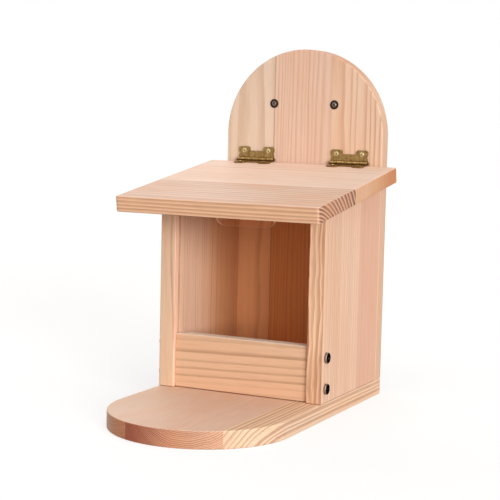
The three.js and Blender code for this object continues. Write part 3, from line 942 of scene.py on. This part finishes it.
# %% Place the hinges
carriers = {"backboard": backboard, "lid": lid_board}
turned_about = {"left": "right", "right": "left"}
hinge_turn_step = 1.1
fittings = []
for side in ("left", "right"):
    low, high = boxes[f"{side}_hinge_backboard_leaf"]
    middle = (low.x + high.x) / 2
    on_axis = Matrix.Translation((middle, hinge_axis.y, hinge_axis.z))
    on_lid = lid_frame @ Matrix.Translation((middle, 0, 0))
    frames = {
        "backboard": on_axis @ Matrix.Rotation(math.radians(90), 4, "X"),
        "lid": on_lid @ Matrix.Rotation(math.pi, 4, "Z"),
    }
    for board, matrix in frames.items():
        leaf_name = f"{side}_hinge_{board}_leaf"
        fittings.append((leaf_name, leaves[board], matrix, "hinge_brass"))
        for way, word in ((-1, "left"), (1, "right")):
            seen_as = turned_about[word] if board == "lid" else word
            spot = matrix @ Matrix.Translation((way * ear_x, screw_y, screw_rim))
            hole = screw_hole(**screw_sizes["hinge"])
            put(hole, spot)
            cut(carriers[board], hole)
            turned = spot @ Matrix.Rotation(hinge_turn_step * len(fittings), 4, "Z")
            fittings.append((f"{leaf_name}_screw_{seen_as}", screws["hinge"], turned, "hinge_screw_brass"))
    fittings.append((f"{side}_hinge_pin", pin, on_axis, "hinge_brass"))
print("hinge pieces", len(fittings))

# %% [markdown]
# ## The pane
# The pane is clear acrylic, cut from sheet, with a notch in its top edge to lift it by. A router
# leaves the notch's corners round. The notch is cut by a block whose own corners are rounded first,
# and the edges are eased by a quarter of a millimetre, which is enough to draw a thin line.

# %% The clear pane
notch_half, notch_depth, notch_round = 27 * mm, 16.5 * mm, 8 * mm
pane_middle = (pane_low.y + pane_high.y) / 2
notch_foot = pane_high.z - notch_depth


def notch_corner(centre, line):
    """The notch's two lower corners, as lines through the sheet."""
    low_down = abs(centre.x) > notch_half - near and centre.z < notch_foot + near
    return low_down and abs(centre.y - pane_middle) < 0.1 * mm


pane = block("clear_pane", pane_low, pane_high)
notch_low = (-notch_half, pane_low.y - overrun, notch_foot)
notch_high = (notch_half, pane_high.y + overrun, pane_high.z + 10 * mm)
notch = block("notch", notch_low, notch_high)
pick(notch, "EDGE", notch_corner)
bpy.ops.mesh.bevel(offset=notch_round, segments=14, affect="EDGES")
done()
cut(pane, notch)
ease_edges(pane, 0.25 * mm, 2)
print("pane", [round(value / mm, 1) for value in pane.dimensions])

# %% [markdown]
# ## Staves and their wood
# Each board is bisected where its staves meet, which leaves no gap, and each stave's faces get
# that stave's own wood. A board could also be built from separate staves, but then every hole and
# eased edge would have to be cut twice. The pith places, ring widths and colours below were read
# off the photograph: where the stripes are wide, where they close up, and how they curve on a sawn
# end.

# %% Cut the boards into staves
def glue_up(piece, direction, joints, woods):
    """Marks the glue joints, at these distances in mm along a direction, and gives each stave its wood."""
    direction = Vector(direction)
    for wood in woods:
        piece.data.materials.append(wood)
    for joint in joints:
        pick(piece, "FACE", lambda centre, face: True)
        bpy.ops.mesh.bisect(plane_co=direction * joint * mm, plane_no=direction)
        done()
    for face in piece.data.polygons:
        corners = [piece.data.vertices[index].co for index in face.vertices]
        middle = sum(corners, Vector()) / len(corners)
        face.material_index = sum(middle.dot(direction) > joint * mm for joint in joints)


side_ways, depth_ways, upward = (1, 0, 0), (0, 1, 0), (0, 0, 1)
up_the_lid = (0, math.cos(slope), math.sin(slope))
lid_arris = lid_frame @ Vector((0, lid_low.y, lid_high.z)) / mm
lid_front = lid_arris.dot(Vector(up_the_lid))
box_top = boxes["left_side_panel"][1].z / mm
# A millimetre more than the platform's own top, so that its top surely lies below
base_top = boxes["platform_base"][1].z / mm + 1
box_foot = boxes["front_lip_board"][0].z / mm
# The dark line at a panel's foot, where it stands on the platform: a joint with painted shade in it
foot = (upward, box_foot, 0.9, 0.6)
print("boards stand from", round(box_foot, 1), "to", round(box_top, 1), "mm")

# %% [markdown]
# The backboard has three staves. The middle one is pinker and finely striped, and the right one has wide stripes
# that close up towards its edge. Below the lid their front is the box's inside, which is painted in warm, deep
# colours as painted bounce light and shade, darker on the middle and right staves. The glue line left of the
# middle shows clearly, the other hardly at all.

# %% The backboard's staves
back_joints = [-28.5, 26.6]
seams = [(side_ways, back_joints[0], 0.6, 0.42), (side_ways, back_joints[1], 0.5, 0.08)]
glue_up(backboard, side_ways, back_joints, [
    stave("planed pine, backboard, left stave", "Z", (-50, 40), 2.4, "#dec3ac", "#b98e6e", 1,
          depth=0.6, warm="#d8bb98", seams=seams,
          side_colours_and_light=("Y", -1, box_top, "#fcb680", "#b0622c", 0.35)),
    stave("planed pine, backboard, middle stave", "Z", (55, 20), 2.1, "#dfbca4", "#ac7054", 2,
          depth=0.45, weather=1, warm="#d99e7b", end="#ebd3c2", seams=seams,
          side_colours_and_light=("Y", -1, box_top, "#f4a05e", "#b5642c", 0.4)),
    stave("planed pine, backboard, right stave", "Z", (30, 164), 2.4, "#e2bfa4", "#b4713f", 3,
          depth=0.7, late=0.3, end="#ebd3c2", seams=seams,
          side_colours_and_light=("Y", -1, box_top, "#f29a54", "#b5642c", 0.4)),
])
print("backboard", [wood.name for wood in backboard.data.materials])

# %% [markdown]
# The platform's staves hardly differ on top, but on the round front each shows its sawn end: a
# plain one on the left, close dark rings in the middle, darkest on the left, and wide pale rings
# on the right, whose stripes also run along the right edge.

# %% The platform's staves
glue_up(platform, side_ways, [-29, 48], [
    stave("planed pine, platform, left stave", "Y", (-60, 90), 3.0, "#e7c7af", "#bb8560", 4,
          depth=0.15, end_depth=0.6, end="#dba47b"),
    stave("planed pine, platform, middle stave", "Y", (22, 45), 1.35, "#e9c3aa", "#7a3f22", 5,
          depth=0.12, end_depth=0.85, late=0.5, steady=0.6, end="#f9e1d0",
          fade=("X", 25, -29, "#c88d7c")),
    stave("planed pine, platform, right stave", "Y", (115, -33), 3.05, "#f4d0b0", "#94501f", 6,
          depth=0.66, end_depth=0.45, late=0.33, steady=0.75, end="#fffdfd",
          side_colours_and_light=("Z", 1, base_top, "#f6cfab", "#9a5630", 0.7)),
])
print("platform", [wood.name for wood in platform.data.materials])

# %% [markdown]
# The lid's front stave has bold arcs on its sawn end, which curve down to the front and widen
# outwards. Its narrow front face is striped and a little warmer than its top. The rear stave is
# plain and pale, and its end darkens towards the hinges.

# %% The lid's staves
lid_pith = (lid_arris.y - 5, lid_arris.z - 58)
glue_up(lid_board, up_the_lid, [lid_front + 74], [
    stave("planed pine, lid, front stave", "X", lid_pith, 3.9, "#eac7ae", "#662204", 7,
          depth=0.3, end_depth=1, late=0.55, steady=0.85, ripple=0.3, weather=0.4, widening=68,
          warm="#da9a70", warmth=0.5, end="#fff4e8",
          side_colours_and_light=("Y", -1, box_top, "#efbf99", "#8a4016", 0.42)),
    stave("planed pine, lid, rear stave", "X", (190, 230), 4.2, "#f2d6c2", "#bd8460", 8,
          depth=0.4, end_depth=0.3, late=0.5, wave=110, end="#efd6bb",
          fade=("Y", lid_arris.y + 90, lid_arris.y + 160, "#e6c8ac")),
])
print("lid", [wood.name for wood in lid_board.data.materials])

# %% [markdown]
# The lip board is one stave with soft, wide stripes that run nearly level, each as strong as its year was good,
# and its top is painted pale, as painted light where the lid shades it. The right panel has wavy dark stripes on
# its front edge, which is painted darker near its foot as painted shade, and nearly none on its face. The left one
# is plain, and its inside is painted in warm light, which turns to painted shade towards the back. All three have
# a dark line at their foot, where they meet the platform: a joint with painted shade in it.

# %% Wood of the lip board and the side panels
glue_up(lip_board, upward, [], [
    stave("planed pine, lip board", "X", (21, 73), 5.3, "#e1b794", "#8a5228", 128.41,
          depth=0.62, late=0.28, steady=0.1, wander=1.2, ripple=0.4, weather=0.3, lean=(0, 0.035),
          warm="#dea47c", seams=[(upward, box_foot, 1.3, 0.95)],
          side_colours_and_light=("Z", 1, box_top, "#ffeedc", "#e8c8a8", 0.3)),
])
glue_up(sides["right"], depth_ways, [63], [
    stave("planed pine, right side, front stave", "Z", (-15, -142), 2.8, "#f4cdb1", "#b87c54", 11.2,
          depth=0.5, late=0.6, wander=3, ripple=1.8, wave=26, seams=[foot],
          side_colours_and_light=("Y", -1, box_top, "#fccfaa", "#94501f", 0.9), fade=("Z", 65, 40, "#efe9e4")),
    stave("planed pine, right side, rear stave", "Z", (40, 300), 3, "#e6b69b", "#b47a56", 13,
          depth=0.35, warm="#dea081", warmth=0.4, seams=[foot]),
])
glue_up(sides["left"], depth_ways, [], [
    stave("planed pine, left side", "Z", (-30, -110), 3.4, "#e5bf9f", "#a9714e", 12,
          depth=0.5, steady=0.1, wander=6, seams=[foot],
          side_colours_and_light=("X", 1, box_top, "#fccdb1", "#b57950", 0.45), fade=("Y", 20, 80, "#ecd2b0")),
])
print("right side", [wood.name for wood in sides["right"].data.materials])

# %% [markdown]
# ## Metals
# The hinges are brass sheet, stamped and given an antique lacquer, which is rubbed bright where it is handled. The
# screws are steel with a dull zinc coat, and those in the hinges are brassed. Noise gives the patches and fine
# scratches. Ambient occlusion darkens the hollows, partly as grime in the lacquer and partly as painted shade,
# such as the dark line under a hinge's barrel. Where a screw's head is painted dark as painted shade and
# reflection, its edge tint goes dark with it, which takes away the bright rim that a metal shows at a grazing
# angle.

# %% Brass and steel
def worn_metal(name, bright, dark, grain, roughness):
    """A metal with darker and duller patches, whose size is in mm."""
    material, tree = new_tree(name)
    place = node(tree, "TexCoord").outputs["Object"]
    patches = {"Vector": place, "Scale": 1 / (grain * mm), "Detail": 5, "Roughness": 0.6}
    patches = node(tree, "TexNoise", patches)
    patina = node(tree, "MapRange", {"Value": patches, "From Min": 0.35, "From Max": 0.65})
    colour = node(tree, "Mix", {0: patina, 6: srgb(bright), 7: srgb(dark)}, data_type="RGBA")
    # Ambient occlusion darkens the hollows: partly grime, partly painted shade.
    open_air = node(tree, "AmbientOcclusion", {"Distance": 1.5 * mm}, samples=8).outputs["AO"]
    grime_and_shade = {"Value": open_air, "From Min": 0.35, "From Max": 0.8, "To Min": 0.8, "To Max": 0}
    grime_and_shade = node(tree, "MapRange", grime_and_shade)
    colour = node(tree, "Mix", {0: grime_and_shade, 6: colour, 7: srgb("#20160d")}, data_type="RGBA")
    # Screw heads painted dark: painted shade and painted dark reflection, marked in a mesh attribute.
    painted_shade_share = node(tree, "Attribute", attribute_name="painted_shade").outputs["Fac"]
    painted_shade_share = node(tree, "Math", {0: painted_shade_share, 1: 0.95}, operation="MULTIPLY")
    colour = node(tree, "Mix", {0: painted_shade_share, 6: colour, 7: srgb("#241d19")}, data_type="RGBA")
    rim = node(tree, "Mix", {0: painted_shade_share, 6: srgb("#ffffff"), 7: srgb("#3a3230")}, data_type="RGBA")
    brushed = (1 / (3 * mm), 1 / (0.2 * mm), 1 / (0.2 * mm))
    scratches = node(tree, "Mapping", {"Vector": place, "Scale": brushed})
    scratches = node(tree, "TexNoise", {"Vector": scratches, "Scale": 1, "Detail": 2})
    dull = node(tree, "MapRange", {"Value": patina, "To Min": roughness, "To Max": roughness + 0.2})
    bump = node(tree, "Bump", {"Strength": 0.25, "Distance": 0.03 * mm, "Height": scratches})
    metal = {"Base Color": colour, "Metallic": 1, "Roughness": dull, "Specular Tint": rim, "Normal": bump}
    node(tree, "OutputMaterial", {"Surface": node(tree, "BsdfPrincipled", metal)})
    return material


lacquered_brass = worn_metal("stamped brass, antique lacquer", "#ae8c58", "#806238", 3, 0.22)
brassed_steel = worn_metal("brassed steel", "#eed9a8", "#b39763", 1.5, 0.22)
zinc_steel = worn_metal("zinc-coated steel, dull", "#a8968a", "#75665c", 1.6, 0.3)
print("metals", lacquered_brass.name, "|", brassed_steel.name, "|", zinc_steel.name)

# %% [markdown]
# ## Acrylic
# The pane's faces are polished acrylic, with an IOR of 1.49 and nearly no colour. Light has to reach the wood
# behind it, so the pane lets rays from lamps, and light that bounces between the boards, straight through. Its
# sawn edges are left frosted, and their colour is painted warm, as painted light from the wood round them. The
# lower one shows as a pale strip along the top of the lip board.

# %% Clear acrylic
clear_acrylic, tree = new_tree("clear acrylic, polished")
polished = {"Base Color": srgb("#f7faf9"), "Roughness": 0.02, "IOR": 1.49, "Transmission Weight": 1}
glass = node(tree, "BsdfPrincipled", polished)
through = node(tree, "BsdfTransparent", {"Color": srgb("#fdfefd")})
path = node(tree, "LightPath")
lit = node(tree, "MixShader", {0: path.outputs["Is Shadow Ray"], 1: glass, 2: through})
mixed = node(tree, "MixShader", {0: path.outputs["Is Diffuse Ray"], 1: lit, 2: through})
node(tree, "OutputMaterial", {"Surface": mixed})

sawn_acrylic, tree = new_tree("clear acrylic, sawn edge")
# The warm base colour is painted warm light from the wood round the edge.
frosted = {"Base Color": srgb("#f7cfae"), "Roughness": 0.7, "IOR": 1.49, "Transmission Weight": 0.1}
node(tree, "OutputMaterial", {"Surface": node(tree, "BsdfPrincipled", frosted)})

pane.data.materials.append(clear_acrylic)
pane.data.materials.append(sawn_acrylic)
for face in pane.data.polygons:
    face.material_index = 1 if abs(face.normal.y) < 0.5 else 0
print("pane faces with a sawn edge", sum(face.material_index for face in pane.data.polygons))

# %% [markdown]
# ## Riding on the bodies
# The measured model has three bodies: the box, the lid and the pane. Every piece rides on one of them and takes
# the place of its node of the measured model, which is hidden. Flat faces are kept flat by weighted normals, so
# only the eased edges look round.

# %% Finish every piece
bodies = frame["record"]["behaviour"]["bodies"]
body_of_node = {name: body for body, names in bodies.items() for name in names}


def finish(piece, replaced, angle=40):
    """Shades a piece, puts it on its node's body and hides the node."""
    only(piece)
    bpy.ops.object.shade_smooth_by_angle(angle=math.radians(angle))
    modify(piece, "WEIGHTED_NORMAL", mode="FACE_AREA", keep_sharp=True)
    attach(piece, body_of_node[replaced])
    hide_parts(replaced)


finish(platform, "platform_base")
finish(backboard, "backboard")
finish(sides["left"], "left_side_panel")
finish(sides["right"], "right_side_panel")
finish(lip_board, "front_lip_board")
finish(lid_board, "lid_board")
finish(pane, "window_pane")

metals = {"hinge_brass": lacquered_brass, "hinge_screw_brass": brassed_steel, "screw_steel": zinc_steel}
fittings += [(name, screws[kind], matrix, "screw_steel") for name, kind, matrix in placed]
for name, pattern, matrix, slot in fittings:
    piece = copy_of(pattern, f"{name}_made", matrix)
    piece.data.materials.append(metals[slot])
    finish(piece, name, 30)
for pattern in [*screws.values(), *leaves.values(), pin]:
    bpy.data.objects.remove(pattern)
